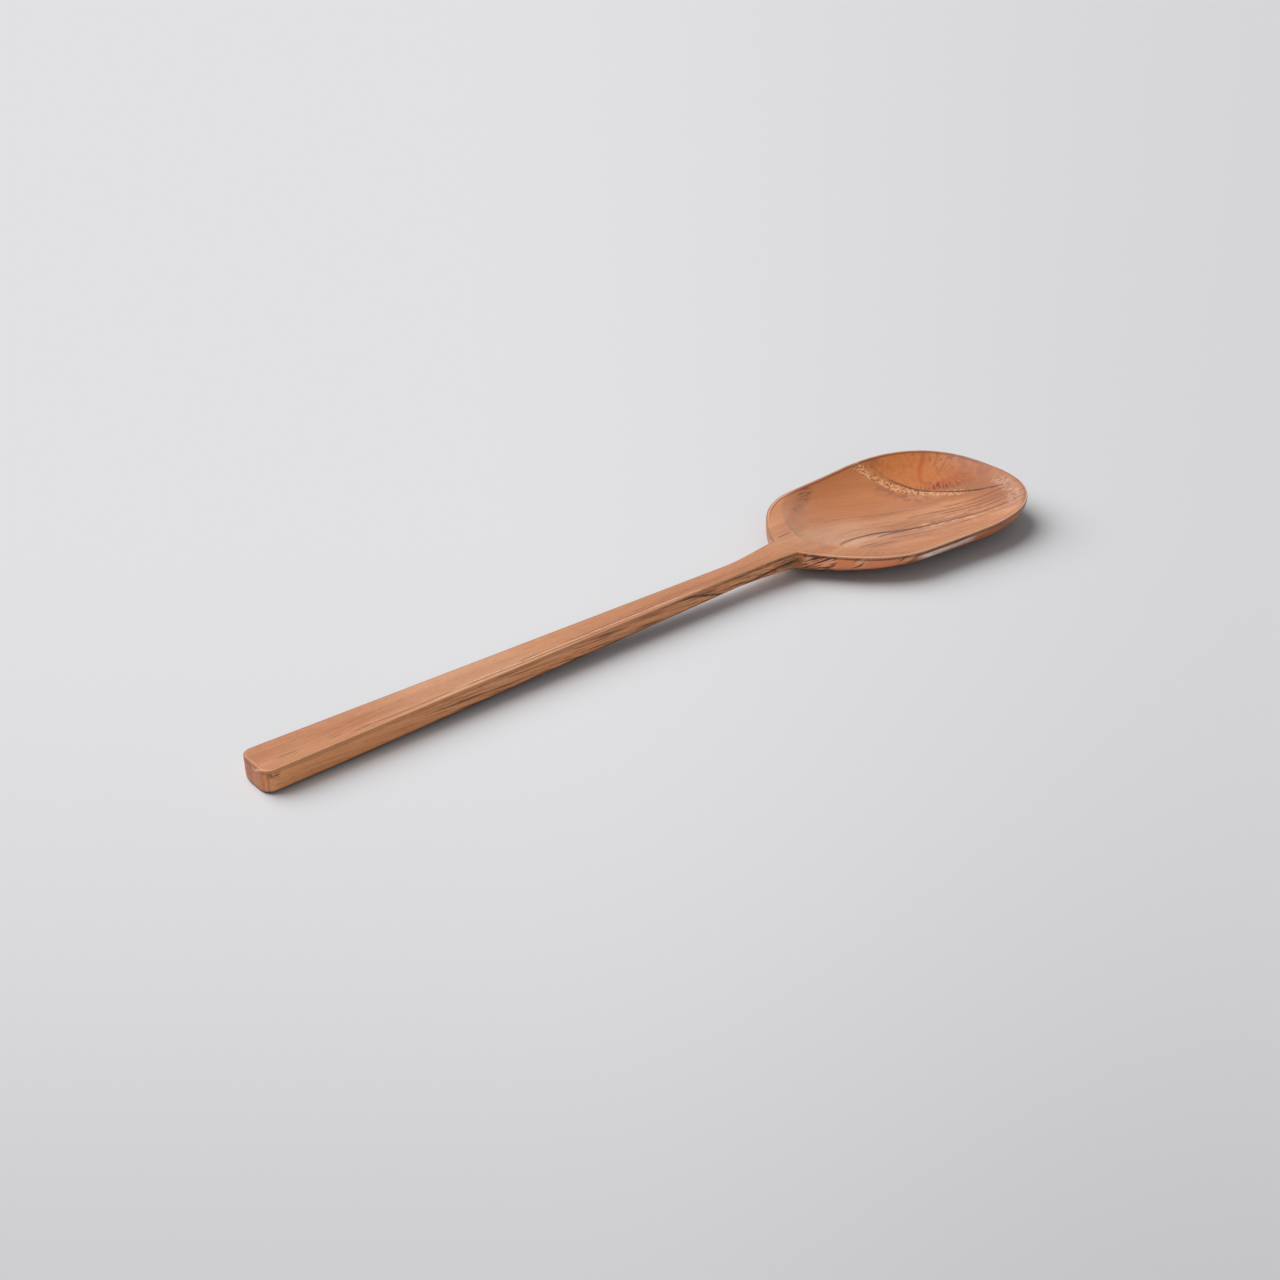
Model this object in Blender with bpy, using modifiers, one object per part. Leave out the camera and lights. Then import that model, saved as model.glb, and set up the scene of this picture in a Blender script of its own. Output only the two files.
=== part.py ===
"""Teak spatula with a long square handle and a broad, shallow spoon-like head.

The real thing is sawn and carved from one board, so the model is one solid. It lies as it
does on a table: on a short flat under the handle's butt and on the belly of the head.
X runs from the butt to the tip, +Y is the left side seen from the butt, +Z is up.
Lengths are in metres. The origin is on the table, under the middle of the bounding box.
"""

import math

import bmesh
import bpy
import numpy as np

# Plan of the blank, measured from the butt
LENGTH = 0.300
HEAD_LENGTH = 0.1035  # neck corner to tip
HEAD_WIDTH = 0.0686  # widest, where the tip's round begins
SHOULDER_WIDTH = 0.0634  # where the shoulders meet the sides
SHOULDER_RUN = 0.028  # length of the shoulder curve along X
SHOULDER_POWER = 1.38  # superellipse power: under 2 is flatter than an ellipse
TIP_RUN = 0.0385  # length of the tip's round along X
TIP_POWER = 2.5  # over 2 is squarer than an ellipse
BUTT_WIDTH = 0.0142
WAIST_WIDTH = 0.0076  # narrowest part of the handle
WAIST_FROM_HEAD = 0.024  # how far the waist lies before the neck corner
NECK_WIDTH = 0.0114  # handle where it enters the head
FLARE_POWER = 1.6  # how late the handle widens between the waist and the head
BUTT_CORNER = 0.0034  # radius of the butt's corners in plan

# Side view, as heights above the table
BUTT_HEIGHT = 0.0075
WAIST_HEIGHT = 0.0090  # top of the handle at the waist
SHOULDER_HEIGHT = 0.0100  # rim where the handle enters the head
RIM_DIP = 0.0011  # how far the rim sags between the shoulders and the tip
TIP_HEIGHT = 0.0122
WAIST_CLEARANCE = 0.0037  # gap under the waist
FOOT_LENGTH = 0.024  # flat under the butt
BELLY_SEAT = 0.00025  # how much of the belly is sanded flat, so that it doesn't rock
FOOT_SEAT = 0.00005  # the same under the butt

# Carving
RIM_LIP = 0.0009  # upright edge below the rim of the head
HANDLE_SQUARENESS = 5.0  # superellipse power of the handle's lower half
BELLY_POWER = 2.4  # superellipse power of the head's underside
HOLLOW_DEPTH = 0.0066  # rim to the bottom of the hollow
HOLLOW_POWER = 2.6  # how flat the hollow's floor is across
HOLLOW_START = 0.0083  # flat left between the neck corner and the hollow
HOLLOW_ROUND = 0.0312  # length along X of the hollow's round end at the neck
RIM_LAND = 0.0006  # flat band between the hollow and the arris, along the sides and round the tip
EASED_EDGE = 0.0006  # radius of the sanded arrises

# Mesh density
CORNER_STEPS = 5
HANDLE_STATIONS = 22
NECK_STATIONS = 5
ROUND_STATIONS = 15
SIDE_STATIONS = 6
TIP_RAYS = 16
HOLLOW_ROWS = 10
EDGE_STEPS = 2
UNDERSIDE_ROWS = 9
MERGE = 1e-6

TEAK = (0.45, 0.22, 0.11, 1.0)
TEAK_ROUGHNESS = 0.5

NECK_X = LENGTH - HEAD_LENGTH
WAIST_X = NECK_X - WAIST_FROM_HEAD
SIDE_X = NECK_X + SHOULDER_RUN
PIVOT_X = LENGTH - TIP_RUN
HOLLOW_X = NECK_X + HOLLOW_START


def ease(value, start, end):
    """0 before start, 1 after end, and a smooth rise between them."""
    share = np.clip((value - start) / (end - start), 0.0, 1.0)
    return share * share * (3.0 - 2.0 * share)


def between(low, high, share):
    return low + (high - low) * share


def superellipse(share, power):
    """Height of a unit superellipse quadrant, from 1 at its centre to 0 at its edge."""
    return (1.0 - np.clip(share, 0.0, 1.0) ** power) ** (1.0 / power)


def handle_half_width(x):
    """A straight taper to the waist, a flare into the head, and round corners at the butt."""
    taper = between(BUTT_WIDTH, WAIST_WIDTH, np.clip(x / WAIST_X, 0.0, 1.0))
    flare = (NECK_WIDTH - WAIST_WIDTH) * np.clip((x - WAIST_X) / WAIST_FROM_HEAD, 0.0, 1.0) ** FLARE_POWER
    radius = min(BUTT_CORNER, 0.45 * BUTT_WIDTH)
    corner = radius * (1.0 - superellipse(1.0 - x / radius, 2.0))
    return (taper + flare) / 2.0 - corner


def head_half_width(x):
    """Shoulder curve out of the neck corner, then nearly straight sides to the tip's round."""
    neck = NECK_WIDTH / SHOULDER_WIDTH
    reach = SHOULDER_RUN / superellipse(neck, SHOULDER_POWER)
    shoulder = SHOULDER_WIDTH * superellipse((SIDE_X - x) / reach, SHOULDER_POWER)
    side = (HEAD_WIDTH - SHOULDER_WIDTH) * np.clip((x - SIDE_X) / (PIVOT_X - SIDE_X), 0.0, 1.0)
    return (shoulder + side) / 2.0


def section_lines():
    """Lines in plan from the middle of the spatula to its outline, as (middle x, end x, end y).

    They run straight across as far as the widest part, and fan out from its middle round the tip.
    """
    corner = 1.0 - np.cos(np.linspace(0.0, math.pi / 2.0, CORNER_STEPS, endpoint=False))
    handle_x = np.concatenate([BUTT_CORNER * corner, np.linspace(BUTT_CORNER, NECK_X, HANDLE_STATIONS)])
    neck_x = np.linspace(NECK_X, HOLLOW_X, NECK_STATIONS + 1)
    round_x = HOLLOW_X + HOLLOW_ROUND * (1.0 - np.cos(np.linspace(0.0, math.pi / 2.0, ROUND_STATIONS + 1)))
    side_x = np.linspace(HOLLOW_X + HOLLOW_ROUND, PIVOT_X, SIDE_STATIONS + 1)
    head_x = np.concatenate([neck_x[1:], round_x[1:], side_x[1:]])
    lines = [(x, x, handle_half_width(x)) for x in handle_x]
    lines += [(x, x, head_half_width(x)) for x in head_x]
    for angle in np.linspace(0.0, math.pi / 2.0, TIP_RAYS + 1)[1:]:
        end_x = PIVOT_X + TIP_RUN * math.sin(angle) ** (2.0 / TIP_POWER)
        end_y = HEAD_WIDTH / 2.0 * max(math.cos(angle), 0.0) ** (2.0 / TIP_POWER)
        lines.append((PIVOT_X, end_x, end_y))
    return lines


def top_height(x):
    """Top of the handle, and the rim of the head."""
    handle = between(BUTT_HEIGHT, WAIST_HEIGHT, np.clip(x / WAIST_X, 0.0, 1.0))
    swell = (SHOULDER_HEIGHT - WAIST_HEIGHT) * ease(x, WAIST_X, NECK_X)
    along = np.clip((x - NECK_X) / HEAD_LENGTH, 0.0, 1.0)
    return handle + swell + (TIP_HEIGHT - SHOULDER_HEIGHT) * along - RIM_DIP * np.sin(math.pi * along)


def keel_height(x):
    """Lowest line of the underside: the foot, the rise to the waist, and down to the belly."""
    rise = np.clip((x - FOOT_LENGTH) / (WAIST_X - FOOT_LENGTH), 0.0, 1.0)
    foot = between(-FOOT_SEAT, WAIST_CLEARANCE, rise)
    return between(foot, -BELLY_SEAT, ease(x, WAIST_X, PIVOT_X))


def section(middle_x, end_x, end_y):
    """Points of one section from the middle of the top, over the rim, to the middle below."""
    length = math.hypot(end_x - middle_x, end_y)
    butt_ease = EASED_EDGE * (1.0 - superellipse(1.0 - middle_x / EASED_EDGE, 2.0))
    reach = length - butt_ease
    head_share = float(ease(middle_x, WAIST_X, SIDE_X))
    thickness = float(top_height(middle_x) - keel_height(middle_x)) - 2.0 * butt_ease
    lip = between(thickness / 2.0, RIM_LIP, head_share)
    power = between(HANDLE_SQUARENESS, BELLY_POWER, head_share)
    edge = min(EASED_EDGE, lip)
    if middle_x > HOLLOW_X:
        roundness = superellipse((HOLLOW_X + HOLLOW_ROUND - middle_x) / HOLLOW_ROUND, 2.0)
        inner = (reach - edge - RIM_LAND) * roundness
        scoop = HOLLOW_DEPTH * superellipse((PIVOT_X - middle_x) / (PIVOT_X - HOLLOW_X), 2.0)
    else:
        inner = reach / 2.0
        scoop = 0.0

    across = np.sin(np.linspace(0.0, math.pi / 2.0, HOLLOW_ROWS + 1))
    outward = list(inner * across)
    drop = list(scoop * (1.0 - across**HOLLOW_POWER))
    for angle in np.linspace(0.0, math.pi / 2.0, EDGE_STEPS + 1):
        outward.append(reach - edge * (1.0 - math.sin(angle)))
        drop.append(edge * (1.0 - math.cos(angle)))
    for angle in np.linspace(0.0, math.pi / 2.0, UNDERSIDE_ROWS + 1):
        outward.append(reach * max(math.cos(angle), 0.0) ** (2.0 / power))
        drop.append(lip + (thickness - lip) * math.sin(angle) ** (2.0 / power))
    outward[-1] = 0.0

    share = np.array(outward) / length
    x = middle_x + (end_x - middle_x) * share
    z = np.maximum(top_height(x) - butt_ease - np.array(drop), 0.0)
    return np.stack([x - LENGTH / 2.0, end_y * share, z], axis=1)


def wrap_half():
    """Wraps a flat grid round the +Y half of the spatula, closes the butt and welds the pivot."""
    sections = np.array([section(*line) for line in section_lines()])
    count, rows = sections.shape[:2]
    shell = bmesh.new()
    bmesh.ops.create_grid(shell, x_segments=count - 1, y_segments=rows - 1, size=1.0)
    for vert in shell.verts:
        station = round((vert.co.x + 1.0) / 2.0 * (count - 1))
        row = round((vert.co.y + 1.0) / 2.0 * (rows - 1))
        vert.co = sections[station, row]
    butt = [edge for edge in shell.edges if all(vert.co.x < MERGE - LENGTH / 2.0 for vert in edge.verts)]
    bmesh.ops.contextual_create(shell, geom=butt)
    bmesh.ops.remove_doubles(shell, verts=shell.verts, dist=MERGE)
    return shell


def teak():
    material = bpy.data.materials.new("oiled_teak")
    material.use_nodes = True
    principled = material.node_tree.nodes["Principled BSDF"]
    principled.inputs["Base Color"].default_value = TEAK
    principled.inputs["Roughness"].default_value = TEAK_ROUGHNESS
    return material


def main():
    for obj in list(bpy.data.objects):
        bpy.data.objects.remove(obj)
    parts = bpy.data.collections.new("wooden_spatula")
    bpy.context.scene.collection.children.link(parts)

    shell = wrap_half()
    mesh = bpy.data.meshes.new("carved_spatula")
    shell.to_mesh(mesh)
    shell.free()
    mesh.materials.append(teak())
    spatula = bpy.data.objects.new("carved_spatula", mesh)
    parts.objects.link(spatula)

    mirror = spatula.modifiers.new("two_halves", "MIRROR")
    mirror.use_axis = (False, True, False)
    mirror.merge_threshold = MERGE
    mesh.shade_smooth()
    mesh.set_sharp_from_angle(angle=math.radians(35.0))


main()
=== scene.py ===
import math

import bmesh
import bpy
import numpy as np
from mathutils import Matrix, Vector


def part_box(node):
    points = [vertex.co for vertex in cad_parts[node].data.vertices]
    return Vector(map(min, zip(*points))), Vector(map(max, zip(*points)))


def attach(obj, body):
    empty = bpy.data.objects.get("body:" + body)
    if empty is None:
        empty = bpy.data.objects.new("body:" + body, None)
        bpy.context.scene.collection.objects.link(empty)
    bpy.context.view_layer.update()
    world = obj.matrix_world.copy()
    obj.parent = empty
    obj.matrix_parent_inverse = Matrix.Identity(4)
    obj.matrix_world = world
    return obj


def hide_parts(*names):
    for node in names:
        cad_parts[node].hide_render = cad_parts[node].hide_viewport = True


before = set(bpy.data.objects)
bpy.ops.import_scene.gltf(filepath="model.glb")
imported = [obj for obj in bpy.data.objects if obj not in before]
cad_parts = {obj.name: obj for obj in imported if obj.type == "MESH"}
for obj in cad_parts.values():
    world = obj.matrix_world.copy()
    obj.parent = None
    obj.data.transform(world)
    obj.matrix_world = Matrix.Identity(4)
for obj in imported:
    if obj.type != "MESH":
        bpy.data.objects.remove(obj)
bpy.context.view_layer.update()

# The spatula is sawn and carved from one teak board: a square handle that widens into a broad,
# shallow head, hollowed like a spoon's. Every edge is eased with fine paper.
low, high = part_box("carved_spatula")
length = high.x - low.x
head_width = high.y - low.y
head_length = 0.1035
shoulder_width = 0.0634
shoulder_run = 0.028
shoulder_power = 1.38
tip_run = 0.0385
tip_power = 2.5
butt_width = 0.0142
waist_width = 0.0076
waist_from_head = 0.024
neck_width = 0.0114
flare_power = 1.6
butt_corner = 0.0034

neck_x = length - head_length
waist_x = neck_x - waist_from_head
side_x = neck_x + shoulder_run
pivot_x = length - tip_run

butt_height = 0.0075
waist_height = 0.0090
shoulder_height = 0.0100
tip_height = 0.0122
rim_dip = 0.0011
waist_clearance = 0.0037
foot_length = 0.024
belly_seat = 0.00025
foot_seat = 0.00005

rim_lip = 0.0009
rim_land = 0.0006
eased_edge = 0.0006
corner_rub = 0.008
rub_starts, rub_full = neck_x + 0.0095, neck_x + 0.0235
rub_fades, rub_ends = side_x + 0.0045, side_x + 0.0215
handle_squareness = 5.0
belly_power = 2.4
hollow_depth = 0.0066
hollow_power = 2.6
hollow_start = 0.0083
hollow_x = neck_x + hollow_start
hollow_round = 0.0312
hollow_end_power = 2.4
hollow_end_fall = 0.75
hollow_end_softness = 1.7

corner_steps = 14
handle_steps = 190
tongue_steps = 24
hollow_end_steps = 74
side_steps = 40
tip_rays = 64
hollow_rows = 46
edge_rows = 6
underside_rows = 36
merge = 1e-6


def ease(value, start, end):
    share = np.clip((value - start) / (end - start), 0.0, 1.0)
    return share * share * (3.0 - 2.0 * share)


def between(first, last, share):
    return first + (last - first) * share


def superellipse(share, power):
    return (1.0 - np.clip(share, 0.0, 1.0) ** power) ** (1.0 / power)


def outline(x):
    """Half the spatula's width at a distance x from the butt."""
    if x > neck_x:
        reach = shoulder_run / superellipse(neck_width / shoulder_width, shoulder_power)
        shoulder = shoulder_width * superellipse((side_x - x) / reach, shoulder_power)
        side = (head_width - shoulder_width) * np.clip((x - side_x) / (pivot_x - side_x), 0.0, 1.0)
        return (shoulder + side) / 2.0
    taper = between(butt_width, waist_width, np.clip(x / waist_x, 0.0, 1.0))
    flare = (neck_width - waist_width) * np.clip((x - waist_x) / (neck_x - waist_x), 0.0, 1.0) ** flare_power
    return (taper + flare) / 2.0 - butt_corner * (1.0 - superellipse(1.0 - x / butt_corner, 2.0))


def half_width(x):
    """The same with the corner between shoulder and side rubbed round, by a running mean."""
    around = corner_rub * ease(x, rub_starts, rub_full) * (1.0 - ease(x, rub_fades, rub_ends))
    wide_pair = outline(x - around) + outline(x + around)
    close_pair = outline(x - around / 2.0) + outline(x + around / 2.0)
    return 0.125 * wide_pair + 0.25 * close_pair + 0.25 * outline(x)


def top_height(x):
    handle = between(butt_height, waist_height, np.clip(x / waist_x, 0.0, 1.0))
    swell = (shoulder_height - waist_height) * ease(x, waist_x, neck_x)
    along = np.clip((x - neck_x) / head_length, 0.0, 1.0)
    return handle + swell + (tip_height - shoulder_height) * along - rim_dip * np.sin(math.pi * along)


def keel_height(x):
    rise = np.clip((x - foot_length) / (waist_x - foot_length), 0.0, 1.0)
    foot = between(-foot_seat, waist_clearance, rise)
    return between(foot, -belly_seat, ease(x, waist_x, pivot_x))


def section(middle_x, end_x, end_y):
    """From the middle of the top, down into the hollow, over the rim and round to the middle below."""
    butt_ease = eased_edge * (1.0 - superellipse(1.0 - end_x / eased_edge, 2.0))
    reach = math.hypot(end_x - middle_x, end_y) - butt_ease
    head_share = float(ease(middle_x, waist_x, side_x))
    thickness = float(top_height(middle_x) - keel_height(middle_x)) - 2.0 * butt_ease
    lip = between(thickness / 2.0, rim_lip, head_share)
    power = between(handle_squareness, belly_power, head_share)
    edge = min(eased_edge, lip)
    if middle_x > hollow_x:
        end_round = superellipse((hollow_x + hollow_round - middle_x) / hollow_round, hollow_end_power)
        inner = (reach - edge - rim_land) * end_round
        fall = between(hollow_end_fall, 0.5, ease(middle_x, hollow_x, pivot_x))
        scoop = hollow_depth * (1.0 - ((pivot_x - middle_x) / (pivot_x - hollow_x)) ** 2) ** fall
    else:
        inner, scoop = 0.5 * reach, 0.0
    soft = between(hollow_end_softness, 1.0, ease(middle_x, hollow_x, hollow_x + hollow_round))

    across = np.sin(np.linspace(0.0, math.pi / 2.0, hollow_rows + 1))
    outward = list(inner * across)
    drop = list(scoop * (1.0 - across**hollow_power) ** soft)
    for angle in np.linspace(0.0, math.pi / 2.0, edge_rows + 1):
        outward.append(reach - edge * (1.0 - math.sin(angle)))
        drop.append(edge * (1.0 - math.cos(angle)))
    for angle in np.linspace(0.0, math.pi / 2.0, underside_rows + 1):
        outward.append(reach * max(math.cos(angle), 0.0) ** (2.0 / power))
        drop.append(lip + (thickness - lip) * math.sin(angle) ** (2.0 / power))
    outward[-1] = 0.0

    share = np.array(outward) / math.hypot(end_x - middle_x, end_y)
    x = middle_x + (end_x - middle_x) * share
    z = np.maximum(top_height(x) - butt_ease - np.array(drop), 0.0)
    return np.stack([x - length / 2.0, end_y * share, z], axis=1)


def section_lines():
    """(middle x, end x, end y): straight across the handle and the head, then fanned out round the tip."""
    corner_x = butt_corner * (1.0 - np.cos(np.linspace(0.0, math.pi / 2.0, corner_steps, endpoint=False)))
    handle_x = np.linspace(butt_corner, neck_x, handle_steps)
    tongue_x = np.linspace(neck_x, hollow_x, tongue_steps)[1:]
    turns = np.linspace(0.0, math.pi / 2.0, hollow_end_steps)
    scoop_x = hollow_x + hollow_round * (1.0 - np.cos(turns))[1:]
    side_xs = np.linspace(hollow_x + hollow_round, pivot_x, side_steps)[1:]
    lines = [(x, x, half_width(x)) for x in np.concatenate([corner_x, handle_x, tongue_x, scoop_x, side_xs])]
    for angle in np.linspace(0.0, math.pi / 2.0, tip_rays)[1:]:
        end_x = pivot_x + tip_run * math.sin(angle) ** (2.0 / tip_power)
        end_y = head_width / 2.0 * max(math.cos(angle), 0.0) ** (2.0 / tip_power)
        lines.append((pivot_x, end_x, end_y))
    return lines


sections = np.array([section(*line) for line in section_lines()])
stations, rows = sections.shape[:2]
arris_row = hollow_rows + 1 + edge_rows // 2
along = np.linalg.norm(np.diff(sections, axis=1), axis=2).cumsum(axis=1)
from_arris = np.insert(along, 0, 0.0, axis=1) - along[:, [arris_row - 1]]
shell = bmesh.new()
bmesh.ops.create_grid(shell, x_segments=stations - 1, y_segments=rows - 1, size=1.0)
distance = shell.verts.layers.float.new("from_arris")
for vert in shell.verts:
    station = round((vert.co.x + 1.0) / 2.0 * (stations - 1))
    row = round((vert.co.y + 1.0) / 2.0 * (rows - 1))
    vert.co = sections[station, row]
    vert[distance] = 1000.0 * from_arris[station, row]
bmesh.ops.mirror(shell, geom=shell.verts[:] + shell.edges[:] + shell.faces[:], matrix=Matrix.Identity(4),
                 merge_dist=merge, axis="Y")
bmesh.ops.remove_doubles(shell, verts=shell.verts, dist=merge)
butt = [edge for edge in shell.edges if edge.is_boundary]
bmesh.ops.contextual_create(shell, geom=butt)
bmesh.ops.recalc_face_normals(shell, faces=shell.faces)

mesh = bpy.data.meshes.new("teak_spatula")
shell.to_mesh(mesh)
shell.free()
mesh.shade_smooth()
mesh.set_sharp_from_angle(angle=math.radians(40.0))
spatula = bpy.data.objects.new("teak_spatula", mesh)
bpy.context.scene.collection.objects.link(spatula)
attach(spatula, "root")
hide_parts("carved_spatula")


# Oiled teak. The board's growth rings run along the handle, arch across the hollow and part
# round a knot by the tip. Pores are short dark dashes along the grain, and the arrises are worn;
# the pale lines on the near arrises are partly painted highlight.
class Wire:
    """One output in a material. Sums on it add Math nodes."""

    def __init__(self, material, socket):
        self.material, self.socket = material, socket

    def outlet(self, name):
        return Wire(self.material, self.socket.node.outputs[name])

    def math(self, operation, *values):
        return add_node(self.material, "ShaderNodeMath", {"operation": operation}, dict(enumerate(values)))

    def __add__(self, other):
        return self.math("ADD", self, other)

    def __sub__(self, other):
        return self.math("SUBTRACT", self, other)

    def __rsub__(self, other):
        return self.math("SUBTRACT", other, self)

    def __mul__(self, other):
        return self.math("MULTIPLY", self, other)

    def __truediv__(self, other):
        return self.math("DIVIDE", self, other)

    def __rtruediv__(self, other):
        return self.math("DIVIDE", other, self)

    def __abs__(self):
        return self.math("ABSOLUTE", self)

    __radd__ = __add__
    __rmul__ = __mul__


def add_node(material, kind, settings, sockets, output=0):
    """Adds one node. Settings go first, a curve's bends among them."""
    made = material.node_tree.nodes.new(kind)
    for name, value in settings.items():
        if name == "bends":
            curve = made.mapping.curves[0]
            for place in value[1:-1]:
                curve.points.new(*place)
            curve.points[0].location, curve.points[-1].location = value[0], value[-1]
            made.mapping.update()
        else:
            setattr(made, name, value)
    for name, value in sockets.items():
        if isinstance(value, Wire):
            material.node_tree.links.new(value.socket, made.inputs[name])
        else:
            made.inputs[name].default_value = value
    return Wire(material, made.outputs[output])


def colour(red, green, blue):
    """A colour as a screen shows it, 0 to 255, made linear."""
    shares = [level / 255.0 for level in (red, green, blue)]
    linear = [((share + 0.055) / 1.055) ** 2.4 if share > 0.04045 else share / 12.92 for share in shares]
    return (*linear, 1.0)


def blend(first, second, share):
    return add_node(share.material, "ShaderNodeMix", {"data_type": "RGBA"}, {0: share, 6: first, 7: second},
                    output=2)


def step(value, start, end):
    """0 at start, 1 at end, smooth between them."""
    return add_node(value.material, "ShaderNodeMapRange", {"interpolation_type": "SMOOTHSTEP"},
                    {"Value": value, "From Min": start, "From Max": end})


def stretch(value, start, end, fade):
    """1 between start and end, fading to 0 over this length inside each of them."""
    return step(value, start, start + fade) * (1.0 - step(value, end - fade, end))


def stroke(distance, half_width):
    """1 on a line, 0 from its half width on."""
    return 1.0 - step(abs(distance), half_width * 0.15, half_width)


def bend(value, *places):
    """A smooth curve through places (in, out), level beyond its ends."""
    starts, ends = zip(*places)
    low_end, high_end = min(ends), max(ends)
    share = add_node(value.material, "ShaderNodeMapRange", {},
                     {"Value": value, "From Min": starts[0], "From Max": starts[-1]})
    bends = [((start - starts[0]) / (starts[-1] - starts[0]), (end - low_end) / (high_end - low_end))
             for start, end in places]
    curve = add_node(value.material, "ShaderNodeFloatCurve", {"bends": bends}, {"Value": share})
    return curve * (high_end - low_end) + low_end


def fibres(x, y, z, long, wide, detail=2.0, roughness=0.5):
    """Noise drawn out along the grain: long and wide are a fibre's sizes in millimetres."""
    place = add_node(x.material, "ShaderNodeCombineXYZ", {}, {0: x / long, 1: y / wide, 2: z / wide})
    return add_node(x.material, "ShaderNodeTexNoise", {},
                    {"Vector": place, "Scale": 1.0, "Detail": detail, "Roughness": roughness})


pale_wood = colour(200, 134, 88)
warm_wood = colour(180, 111, 66)
late_wood_and_shade = colour(128, 72, 42)
pore_brown_and_shade = colour(70, 34, 20)
paler_wood_and_highlight = colour(226, 174, 136)
honey = colour(200, 118, 60)

# Lengths in this material are in millimetres: x from the butt, y to the left, z up, and arris along
# the skin from the upper edge, less than 0 on the top and more than 0 on the sides and below.
teak = bpy.data.materials.new("oiled_teak")
teak.use_nodes = True
surface = teak.node_tree.nodes["Principled BSDF"]
coordinate = add_node(teak, "ShaderNodeTexCoord", {}, {}, output="Object")
place = add_node(teak, "ShaderNodeMapping", {},
                 {"Vector": coordinate, "Location": (150.0, 0.0, 0.0), "Scale": (1000.0,) * 3})
x = add_node(teak, "ShaderNodeSeparateXYZ", {}, {"Vector": place})
y = x.outlet("Y")
z = x.outlet("Z")
arris = add_node(teak, "ShaderNodeAttribute", {"attribute_name": "from_arris"}, {}, output="Fac")
outside = step(arris, 0.1, 0.7)
near_side = 1.0 - step(y, -1.0, 1.0)
on_handle = 1.0 - step(x, 186.0, 206.0)

# Growth rings. Across is how far a point lies from the ring that makes the long dark line in the hollow.
long_line = bend(x, (196.0, -10.5), (208.0, -9.6), (214.0, -8.0), (218.0, -5.6), (222.0, -4.4), (230.0, -3.6),
                 (236.0, -4.3), (242.0, -6.2), (250.0, -9.6), (256.0, -11.5), (262.0, -13.5), (268.0, -16.0),
                 (274.0, -19.0), (280.0, -22.0), (300.0, -31.5))
wander = fibres(x, y, z, 26.0, 8.0) - 0.5
line_off = y - long_line + wander * 0.9
across = y - long_line * 0.85 + wander * 2.4
sunk = z + add_node(teak, "ShaderNodeMath", {"operation": "MINIMUM"}, {0: x, 1: 195.0}) / 20.0
on_top = 1.0 - outside
lined = stretch(line_off, -13.0, 11.0, 5.0) * step(x, 226.0, 252.0) * on_top

broad = fibres(x, across, sunk, 70.0, 7.0, detail=1.0)
band = fibres(x, across, sunk, 120.0, 1.5)
fine = fibres(x, across, sunk, 26.0, 0.36, detail=3.0, roughness=0.6)
pores = fibres(x, across, sunk, 3.0, 0.15, detail=1.0)

wood = blend(pale_wood, warm_wood, step(broad, 0.34, 0.66))
wood = blend(wood, late_wood_and_shade, step(band, 0.54, 0.76) * (0.10 + 0.30 * lined))
wood = blend(wood, paler_wood_and_highlight, step(band, 0.46, 0.28) * 0.16)
wood = blend(wood, late_wood_and_shade, step(fine, 0.52, 0.68) * (0.28 + 0.45 * lined))
wood = blend(wood, paler_wood_and_highlight, step(fine, 0.47, 0.31) * (0.20 + 0.34 * lined))
# The far half of the tongue and the hollow's rear end are more honey coloured: partly the board's own tone,
# partly painted shade.
wood = blend(wood, honey, step(y, 0.0, 16.0) * step(x, 196.0, 218.0) * on_top * 0.66)
wood = blend(wood, paler_wood_and_highlight, stretch(x, 204.0, 246.0, 12.0) * stretch(y, -14.0, 14.0, 9.0) * on_top * 0.30)
wood = blend(wood, paler_wood_and_highlight, stretch(x, 30.0, 98.0, 24.0) * on_top * 0.30)
wood = blend(wood, warm_wood, step(x, 96.0, 116.0) * on_handle * on_top * 0.38)
wood = blend(wood, warm_wood, step(x, 276.0, 288.0) * on_top * 0.80)
wood = blend(wood, late_wood_and_shade, step(x, 276.0, 288.0) * on_top * 0.34)

# The long line, a second one that runs into it, the pale wood below them and dashes beside them.
breaks = fibres(x, y, z, 6.0, 1.2, detail=3.0, roughness=0.7)
line_ink = 0.62 + 0.38 * step(breaks, 0.42, 0.56)
fleck_yellow = colour(230, 168, 120)
wood = blend(wood, paler_wood_and_highlight, stroke(line_off + 2.1, 2.3) * stretch(x, 211.0, 233.0, 6.0) * on_top * 0.45)
wood = blend(wood, late_wood_and_shade, stroke(line_off, 1.5) * stretch(x, 212.0, 293.0, 8.0) * on_top * 0.50)
line_width = 0.6 + 0.3 * stretch(x, 226.0, 262.0, 10.0)
wood = blend(wood, pore_brown_and_shade, stroke(line_off, line_width) * stretch(x, 213.0, 290.0, 5.0)
             * on_top * line_ink)
second = line_off + (250.0 - x) * 0.2
wood = blend(wood, pore_brown_and_shade, stroke(second, 0.8) * stretch(x, 233.0, 253.0, 3.0) * on_top
             * line_ink * 0.95)
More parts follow.
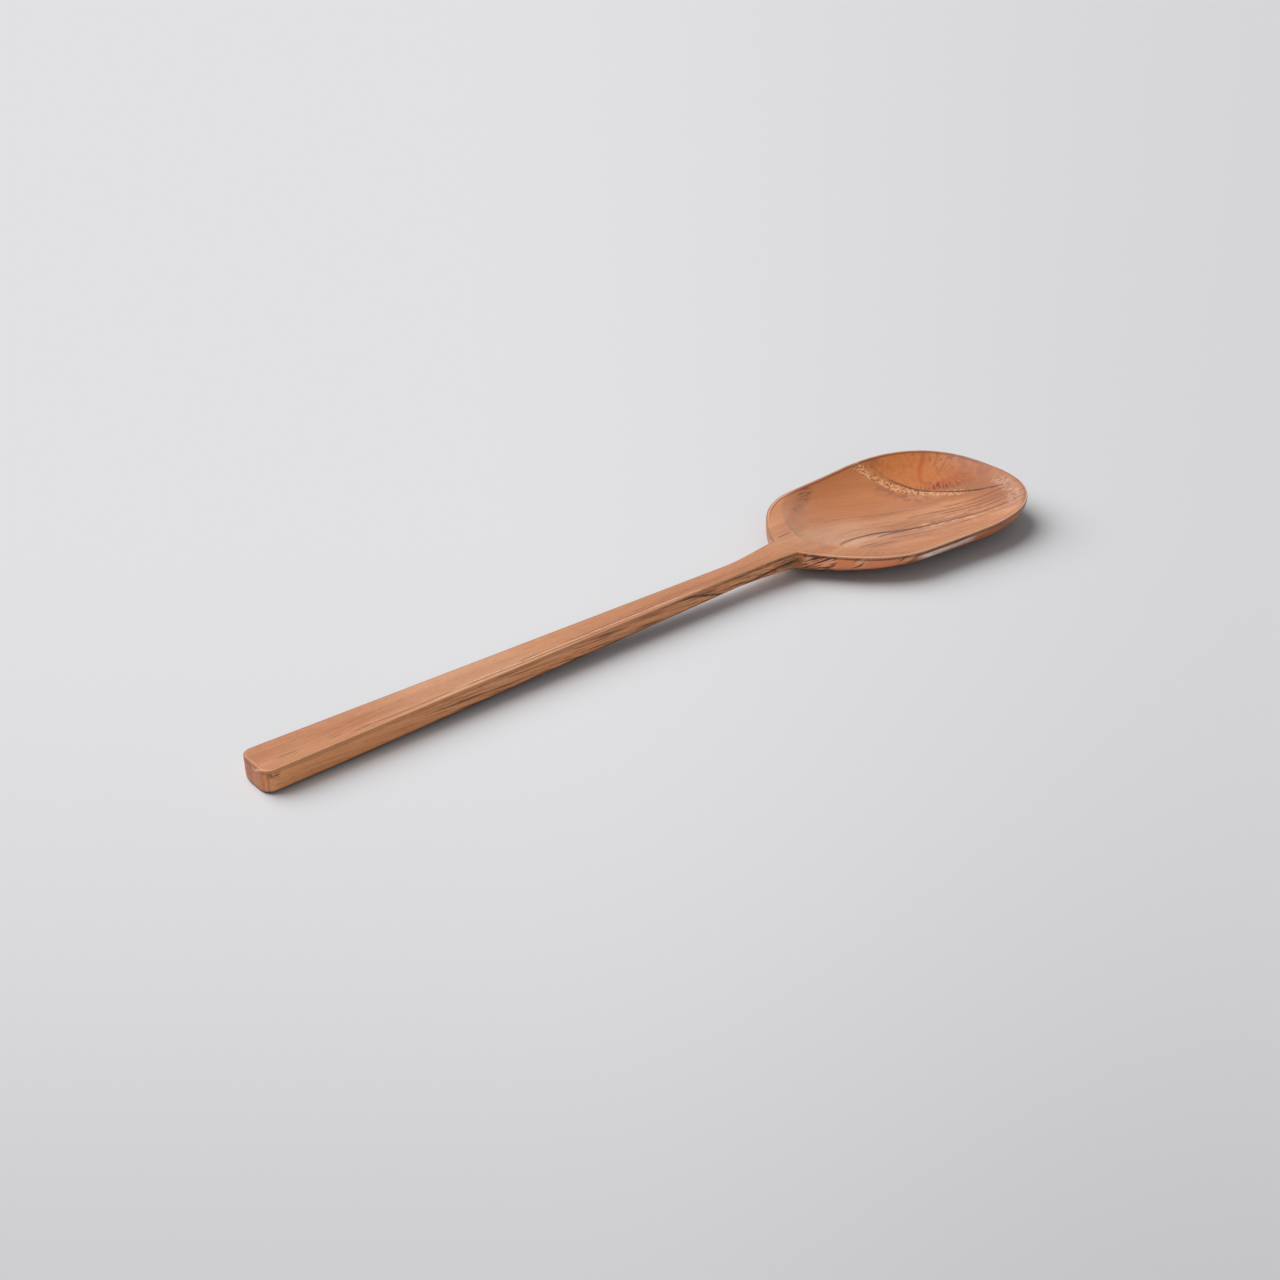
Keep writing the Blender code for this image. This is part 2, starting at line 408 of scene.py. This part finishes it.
for start, end, beside, ink in (
        (219.0, 232.0, -7.2, 0.95), (221.0, 238.0, -9.4, 0.95), (242.0, 251.0, -8.6, 1.0),
        (256.0, 274.0, 1.7, 0.95), (262.0, 292.0, -4.4, 0.95), (224.0, 240.0, 5.4, 0.4),
        (254.0, 292.0, 9.4, 0.8), (256.0, 268.0, -4.8, 0.95), (248.0, 266.0, 3.2, 0.8),
        (226.0, 262.0, 15.5, 0.5), (236.0, 256.0, -5.6, 0.95), (266.0, 292.0, 7.2, 0.95),
        (270.0, 295.0, 12.4, 0.95), (272.0, 294.0, 4.2, 0.95)):
    dash = stroke(line_off - beside, 0.7) * stretch(x, start, end, 3.0) * on_top * line_ink
    wood = blend(wood, late_wood_and_shade, dash * ink)
sparks = fibres(x + y * 0.4, line_off, z, 1.6, 0.55)
for start, end, beside in ((246.0, 272.0, -1.5), (252.0, 262.0, 1.0), (244.0, 250.0, -7.6)):
    chipped = stroke(line_off - beside, 1.1) * stretch(x, start, end, 3.0) * on_top
    wood = blend(wood, late_wood_and_shade, chipped * step(sparks, 0.48, 0.38) * 0.6)
    wood = blend(wood, fleck_yellow, chipped * step(sparks, 0.50, 0.57) * 0.95)

# The knot by the tip: a thin dark seam round it, a band of yellow flecks before it, and
# orange to red wood inside it with rings and rays of its own.
knot_orange = colour(198, 118, 60)
knot_red = colour(186, 92, 40)
bruise = colour(132, 80, 56)
ray_brown = colour(112, 54, 32)
fleck_shadow = colour(104, 56, 34)
seam_x = bend(y, (-22.0, 299.5), (-13.0, 292.0), (-10.0, 289.2), (-5.0, 285.0), (0.0, 281.5), (5.0, 278.0),
              (10.0, 275.0), (15.0, 273.0), (20.0, 271.7), (25.0, 271.0), (34.0, 270.4))
seam = x - wander * 2.2 - seam_x
knot_border = y + 0.57 * (x - 285.0) - 1.0
inside_knot = step(seam, 0.1, 1.2) * step(knot_border, -2.5, 3.0)
from_heart_x = x - 295.0
from_heart_y = y - 5.5
heart = add_node(teak, "ShaderNodeCombineXYZ", {}, {0: from_heart_x, 1: from_heart_y})
radius = add_node(teak, "ShaderNodeVectorMath", {"operation": "LENGTH"}, {0: heart}, output="Value")
turn = from_heart_y.math("ARCTAN2", from_heart_y, from_heart_x)
rays = fibres(0.65 * x + 0.76 * y, 0.76 * x - 0.65 * y, z, 9.0, 0.75)
knot_rings = fibres(turn * 2.0, radius + wander * 3.0, z, 3.0, 1.1)
knot_noise = fibres(x, y, z, 4.0, 3.0, detail=3.0)
knot_wood = blend(knot_red, knot_orange, step(y + (knot_noise - 0.5) * 16.0, 3.0, 13.0))
knot_wood = blend(knot_wood, fleck_yellow, step(knot_noise, 0.58, 0.80) * 0.25)
knot_wood = blend(knot_wood, knot_red, step(knot_rings, 0.50, 0.66) * 0.45)
knot_wood = blend(knot_wood, late_wood_and_shade, step(knot_rings, 0.50, 0.60) * step(x, 284.0, 292.0) * 0.45)
knot_wood = blend(knot_wood, knot_red, stroke(radius + wander * 3.0 - 16.4, 1.4) * 0.80)
comb = stretch(seam, -0.2, 8.5, 3.0) * stretch(y, -11.0, 13.0, 5.0)
knot_wood = blend(knot_wood, ray_brown, step(rays, 0.46, 0.53) * comb)
knot_wood = blend(knot_wood, ray_brown, step(rays, 0.50, 0.62) * step(seam, 4.0, 12.0)
                  * (1.0 - step(y, 0.0, 12.0)) * 0.30)
knot_wood = blend(knot_wood, warm_wood, step(x, 286.0, 298.0) * (1.0 - step(y, 8.0, 20.0)) * 0.65)
knot_wood = blend(knot_wood, late_wood_and_shade, stretch(x, 268.0, 277.0, 3.0) * step(y, 27.0, 31.0) * 0.40)
knot_wood = blend(knot_wood, late_wood_and_shade, step(x, 285.0, 295.0) * step(knot_noise, 0.40, 0.60) * 0.45)
wood = blend(wood, bruise, stretch(seam, -13.0, -1.5, 5.0) * step(y, -3.0, 6.0) * (1.0 - step(y, 16.0, 26.0))
             * step(knot_noise, 0.34, 0.58) * on_top * 0.60)
flecks = fibres(seam + y * 0.8, y - seam * 0.6, z, 1.8, 0.8, roughness=0.8)
fleck_band = stretch(seam + wander * 2.0 + 0.12 * y, -4.6, 2.2, 2.4) * step(y, -10.0, 0.0) * on_top
fleck_height = flecks - 0.16 * (1.0 - fleck_band)
fleck_depth = flecks + 0.16 * (1.0 - fleck_band)
wood = blend(wood, fleck_yellow, step(fleck_height, 0.46, 0.54) * step(fleck_band, 0.02, 0.4) * 0.88)
wood = blend(wood, fleck_shadow, step(fleck_depth, 0.46, 0.39) * step(fleck_band, 0.02, 0.4) * 0.80)
wood = blend(wood, knot_wood, inside_knot * on_top * 0.95)
seam_fade = step(y, -20.0, -12.0) * (1.0 - 0.75 * step(y, 15.0, 25.0))
seam_ink = stroke(seam + (breaks - 0.5) * 1.2, 1.1) * seam_fade * on_top * line_ink
wood = blend(wood, pore_brown_and_shade, seam_ink * 0.95)
crumbs = fibres(x, y, z, 0.9, 0.9)
crumb_band = stretch(seam, -3.0, 1.6, 1.5) * step(y, -6.0, 4.0)
wood = blend(wood, pore_brown_and_shade, crumb_band * step(crumbs, 0.56, 0.66) * on_top * 0.6)

# Fine lines and a few dashes on top of the handle, towards its near edge.
for start, end, level, half, line_wood, ink in (
        (4.0, 14.0, -2.5, 0.4, pore_brown_and_shade, 0.6), (19.0, 27.0, -3.2, 0.4, pore_brown_and_shade, 0.6),
        (83.0, 94.0, -3.0, 0.4, pore_brown_and_shade, 0.6), (26.0, 62.0, -4.3, 0.4, late_wood_and_shade, 0.8),
        (60.0, 112.0, -3.6, 0.5, paler_wood_and_highlight, 0.9), (64.0, 118.0, -4.3, 0.4, late_wood_and_shade, 0.9),
        (52.0, 100.0, -4.9, 0.5, paler_wood_and_highlight, 0.9), (100.0, 150.0, -2.6, 0.4, late_wood_and_shade, 0.8),
        (110.0, 158.0, -3.3, 0.5, paler_wood_and_highlight, 0.9), (128.0, 190.0, -1.4, 0.4, late_wood_and_shade, 0.5)):
    fine_line = stroke(y - level + wander * 0.8, half) * stretch(x, start, end, 4.0)
    wood = blend(wood, line_wood, fine_line * on_top * line_ink * ink)

# Torn grain on the far shoulder, inside the rim, and a knife cut beside the tongue, whose step is not in the
# mesh and is painted as a dark line of shade.
tear_along = (x - 224.0) * 0.87 + (y - 22.0) * 0.5
tear_off = (y - 22.0) * 0.87 - (x - 224.0) * 0.5
tears = fibres(x + y * 0.3, y, z, 4.2, 0.6)
wood = blend(wood, late_wood_and_shade, stroke(tear_off + wander * 2.0, 3.0) * stretch(tear_along, -6.0, 20.0, 6.0)
             * on_top * 0.30)
wood = blend(wood, pore_brown_and_shade, stroke(tear_off + wander * 2.0, 2.8) * stretch(tear_along, -5.0, 19.0, 4.0)
             * step(tears, 0.50, 0.62) * on_top * (0.30 + 0.45 * step(tear_along, 2.0, 12.0)))
# Painted shade: the knife cut's step drawn as a thin dark line.
cut_shade_line = stroke(y - 0.10 * (x - 199.0) - 6.2, 0.45) * stretch(x, 198.4, 206.6, 1.5)
wood = blend(wood, pore_brown_and_shade, cut_shade_line * on_top * 0.9)

# The sides of the handle are cut across the rings, so dark lines run along them.
near_side_painted_light = colour(242, 162, 104)
side_streaks = fibres(x, y, sunk, 44.0, 0.36)
side_hairs = fibres(x, y, sunk, 16.0, 0.25)
side_share = outside * on_handle
busy = 0.16 + 0.72 * stretch(x, 36.0, 212.0, 40.0)
# Painted light: the near side is lighter and more orange than the far side, standing in for light falling
# there.
wood = blend(wood, near_side_painted_light, side_share * near_side * 0.90)
wood = blend(wood, late_wood_and_shade, step(side_hairs, 0.50, 0.60) * side_share * busy * 0.40)
wood = blend(wood, late_wood_and_shade, step(side_streaks, 0.50, 0.60) * side_share * busy * 0.55)
wood = blend(wood, pore_brown_and_shade, step(side_streaks, 0.56, 0.65) * side_share * busy * 0.95)
wood = blend(wood, paler_wood_and_highlight, step(side_streaks, 0.46, 0.34) * side_share * 0.36)
side_dark = bend(x, (140.0, 0.1), (147.0, 0.5), (152.0, 1.2), (158.0, 2.8), (164.0, 4.3))
wood = blend(wood, pore_brown_and_shade, stroke(arris - side_dark, 0.65) * stretch(x, 141.0, 166.0, 4.0)
             * side_share * near_side * line_ink)
side_rise = bend(x, (170.0, 5.4), (180.0, 4.0), (185.0, 3.6), (190.0, 3.3), (200.0, 2.6))
wood = blend(wood, pore_brown_and_shade, stroke(arris - side_rise, 0.8) * stretch(x, 169.0, 201.0, 5.0)
             * outside * near_side * line_ink)
wood = blend(wood, pore_brown_and_shade, stretch(x, 186.0, 203.0, 6.0) * stretch(arris, 0.4, 6.0, 2.2) * near_side
             * (0.4 + 0.6 * step(side_streaks, 0.40, 0.56)) * 0.70)

# End grain shows on the butt and on the outside of the shoulders, where it is darker and redder.
# On the outside of the shoulders the near side is painted lighter and more orange than the far side: painted
# light.
end_red_painted_light = colour(246, 146, 92)
end_brown = colour(168, 92, 46)
cut_pale = colour(238, 180, 140)
shoulder_wall = outside * stretch(x, 194.0, 232.0, 9.0)
# Painted light on the near side of the shoulders' outside; the far side keeps a plainer red.
wood = blend(wood, end_red_painted_light, shoulder_wall * near_side * 0.76)
wood = blend(wood, knot_red, shoulder_wall * (1.0 - near_side) * 0.50)
hatch = fibres(x - z * 1.2, y, z, 0.9, 5.0)
hatched = stretch(x, 196.8, 204.4, 1.4) + stretch(x, 207.0, 212.0, 1.2) + stretch(x, 218.5, 228.5, 2.4)
hatch_zone = outside * (0.45 + 0.55 * near_side) * hatched
wood = blend(wood, cut_pale, hatch_zone * step(hatch, 0.53, 0.59) * 0.68)
wood = blend(wood, pore_brown_and_shade, hatch_zone * step(hatch, 0.52, 0.44) * 0.92)
butt_end = 1.0 - step(x, 0.1, 0.9)
end_pores = fibres(x, y, z, 1.0, 0.5)
wood = blend(wood, end_brown, butt_end * 0.75)
wood = blend(wood, pore_brown_and_shade, butt_end * step(end_pores, 0.56, 0.70) * 0.35)
end_rings = fibres(x, y - z * 0.7, z, 9.0, 0.9, detail=1.0)
wood = blend(wood, late_wood_and_shade, butt_end * step(end_rings, 0.50, 0.62) * 0.35)
dent = stretch(x, 0.4, 4.6, 1.2) * stretch(arris, 0.3, 2.8, 0.8) * near_side
wood = blend(wood, pore_brown_and_shade, dent * step(end_pores, 0.38, 0.50) * 0.65)
wood = blend(wood, late_wood_and_shade, stroke(x - 1.1, 0.5) * outside * near_side * 0.45)

# Paler, greyer colour by the tip and along the near wall under the rim is painted reflection: sheen by the
# tip, and the bright floor mirrored in the wall.
tip_sheen_grey = colour(212, 172, 146)
wall_orange = colour(196, 112, 56)
floor_reflection_pale = colour(250, 228, 216)
sheen_streaks = fibres(x, line_off, z, 22.0, 0.7)
# Painted sheen: a paler, greyer streaked patch inside the tip's near rim.
tip_sheen = stretch(arris, -8.5, -0.5, 2.6) * stretch(x, 277.0, 303.0, 8.0) * stretch(y, -33.0, -5.0, 7.0)
wood = blend(wood, tip_sheen_grey, tip_sheen * step(sheen_streaks, 0.34, 0.66) * on_top * 0.55)
wall_streaks = fibres(x, y, z, 20.0, 0.8)
wood = blend(wood, wall_orange, outside * near_side * step(x, 247.0, 257.0) * 0.75)
wood = blend(wood, late_wood_and_shade, outside * near_side * step(x, 232.0, 242.0)
             * step(wall_streaks, 0.50, 0.60) * 0.55)
# Painted reflection of the bright floor in the near wall under the rim, broken by streaks.
wall_reflection = stretch(x, 224.5, 255.0, 6.0) * stretch(arris, 0.9, 3.8, 0.9) * near_side
wood = blend(wood, floor_reflection_pale, wall_reflection * (0.50 + 0.50 * step(wall_streaks, 0.54, 0.44)))
# A dark line of painted shade inside the far rim by the shoulder, at the hollow's edge, and a pale line on
# the rim beside it.
wood = blend(wood, late_wood_and_shade, stroke(arris + 1.6, 0.6) * step(x, 206.0, 216.0) * (1.0 - near_side) * 0.80)
wood = blend(wood, paler_wood_and_highlight, stroke(arris + 0.85, 0.4) * stretch(x, 203.0, 236.0, 10.0)
             * (1.0 - near_side) * 0.80)

# Pores are everywhere. Pale lines along the near upper arrises are partly wear and partly painted
# highlight, and the far upper arrises get dark lines of painted shade. The lower edge of the handle
# and the belly are coloured darker: painted shade for the dark line and shadow seen beneath them.
rim_highlight_pale = colour(236, 194, 160)
edge_dark = colour(48, 32, 27)
belly_brown = colour(92, 54, 36)
wood = blend(wood, pore_brown_and_shade, step(pores, 0.62, 0.74) * 0.45)
past_waist = step(x, 140.0, 180.0)
# Painted highlight, partly real wear, along the near upper arrises.
wood = blend(wood, paler_wood_and_highlight, stroke(arris + 0.1, 0.38) * near_side * 0.72)
# A dark line of painted shade along the far upper arris.
wood = blend(wood, late_wood_and_shade, stroke(arris + 0.25, 0.5) * (1.0 - near_side) * 0.65)
# A painted highlight along the near rim of the head, and a broader one, partly wear, along the handle's near
# arris.
wood = blend(wood, rim_highlight_pale, stroke(arris + 0.15, 0.42) * near_side * step(x, 196.0, 206.0) * 0.80)
wood = blend(wood, paler_wood_and_highlight, stroke(arris + 0.1, 0.7) * near_side * (1.0 - past_waist) * 0.50)
wood = blend(wood, honey, stroke(arris - 0.2 + wander * 0.8, 0.32) * near_side * (1.0 - past_waist) * 0.80)
wood = blend(wood, pore_brown_and_shade, stroke(arris - 0.85, 0.5) * near_side * line_ink * (0.35 + 0.55 * past_waist))
lower_edge = bend(x, (24.0, 7.2), (172.5, 5.1))
wood = blend(wood, edge_dark, stroke(arris - lower_edge, 1.4) * (1.0 - step(x, 150.0, 176.0)) * 0.95)
wood = blend(wood, belly_brown, step(arris - lower_edge, 0.0, 1.5) * (1.0 - step(x, 172.0, 190.0)) * 0.70)
wood = blend(wood, belly_brown, step(arris, 4.0, 7.0) * step(x, 190.0, 204.0) * 0.75)
# Another dark line of painted shade on the far side, just below the upper arris.
wood = blend(wood, late_wood_and_shade, stroke(arris - 0.4, 0.8) * (1.0 - near_side) * 0.7)
teak.node_tree.links.new(wood.socket, surface.inputs["Base Color"])

gloss = fibres(x, across, sunk, 12.0, 1.5)
rough = 0.32 + 0.12 * step(gloss, 0.35, 0.65) + 0.2 * step(pores, 0.62, 0.74)
teak.node_tree.links.new(rough.socket, surface.inputs["Roughness"])
relief = 0.6 * fine - step(pores, 0.60, 0.74)
bump = add_node(teak, "ShaderNodeBump", {}, {"Height": relief, "Strength": 0.35, "Distance": 0.00012})
teak.node_tree.links.new(bump.socket, surface.inputs["Normal"])
surface.inputs["IOR"].default_value = 1.47
mesh.materials.append(teak)

# The floor is a seamless sheet of pale grey paper. Its colour is painted with light: a little darker
# towards the camera and to the right, lighter at the back left.
floor_shape = bmesh.new()
bmesh.ops.create_circle(floor_shape, cap_ends=True, radius=12.0, segments=96)
floor_mesh = bpy.data.meshes.new("paper_floor")
floor_shape.to_mesh(floor_mesh)
floor_shape.free()
floor = bpy.data.objects.new("paper_floor", floor_mesh)
bpy.context.scene.collection.objects.link(floor)
camera_turn = 0.7087
camera_foot = 0.4323
paper = bpy.data.materials.new("pale_paper_painted_light")
paper.use_nodes = True
sheet = add_node(paper, "ShaderNodeTexCoord", {}, {}, output="Object")
east = add_node(paper, "ShaderNodeSeparateXYZ", {}, {"Vector": sheet})
north = east.outlet("Y")
away = east * math.sin(camera_turn) + north * math.cos(camera_turn) + camera_foot
sideways = east * math.cos(camera_turn) - north * math.sin(camera_turn)
reach = add_node(paper, "ShaderNodeMath", {"operation": "SQRT"}, {0: away * away + 0.01})
nearness = step(0.2 / (reach + away), 0.19, 0.60)
# Painted light: lighter at the back left, darker towards the camera and to the right.
left_paper_and_light = blend(colour(221, 221, 223), colour(200, 200, 202), nearness)
right_paper_and_light = blend(colour(209, 209, 211), colour(191, 191, 193), nearness)
paper_and_painted_light = blend(left_paper_and_light, right_paper_and_light, step(sideways / reach, -0.15, 0.45))
skin = paper.node_tree.nodes["Principled BSDF"]
paper.node_tree.links.new(paper_and_painted_light.socket, skin.inputs["Base Color"])
skin.inputs["Roughness"].default_value = 0.9
skin.inputs["Specular IOR Level"].default_value = 0.0
floor_mesh.materials.append(paper)


# A wide window high at the back, a little to the left, a weaker bounce from the camera's side,
# and the pale room round them.
def add_sun(name, towards, angle, level):
    """A distant light that gives a level surface this share of its own colour."""
    towards = Vector(towards).normalized()
    lamp = bpy.data.lights.new(name, "SUN")
    lamp.angle = math.radians(angle)
    lamp.energy = level * math.pi / towards.z
    stand = bpy.data.objects.new(name, lamp)
    stand.rotation_euler = towards.to_track_quat("Z", "Y").to_euler()
    bpy.context.scene.collection.objects.link(stand)


add_sun("window_light", (-0.34, 0.63, 0.78), angle=62.0, level=0.80)
add_sun("bounce_light", (-0.50, -0.75, 0.36), angle=40.0, level=0.05)

room = bpy.data.worlds.new("pale_room")
room.use_nodes = True
bpy.context.scene.world = room
ray = add_node(room, "ShaderNodeLightPath", {}, {}, output="Is Camera Ray")
glossy_ray = ray.outlet("Is Glossy Ray")
upward = add_node(room, "ShaderNodeTexCoord", {}, {}, output="Generated")
height = add_node(room, "ShaderNodeSeparateXYZ", {}, {"Vector": upward}, output="Z")
walls_seen = 1.02 - 0.84 * step(height, 0.35, 0.90)
dome = 0.03 + 0.19 * step(height, 0.05, 0.60)
background = room.node_tree.nodes["Background"]
background.inputs["Color"].default_value = (0.98, 0.99, 1.0, 1.0)
strength = dome + (0.71 - dome) * ray + (walls_seen - dome) * glossy_ray
room.node_tree.links.new(strength.socket, background.inputs["Strength"])

# The camera stands behind the butt's near side and looks down along the spatula, through a lens
# of 45 mm on a frame 36 mm wide.
camera = bpy.data.cameras.new("camera")
camera.lens = 45.0
camera.sensor_width = 36.0
camera.clip_start = 0.01
camera_tilt = 0.4952
camera_distance = 0.49124
aim = Vector((0.12954 - length / 2.0, -0.00426, 0.0))
forward = Vector((math.sin(camera_turn) * math.cos(camera_tilt),
                  math.cos(camera_turn) * math.cos(camera_tilt),
                  -math.sin(camera_tilt)))
camera_stand = bpy.data.objects.new("camera", camera)
camera_stand.location = aim - forward * camera_distance
camera_stand.rotation_euler = (math.pi / 2.0 - camera_tilt, 0.0, -camera_turn)
bpy.context.scene.collection.objects.link(camera_stand)
bpy.context.scene.camera = camera_stand
bpy.context.scene.view_settings.view_transform = "Standard"
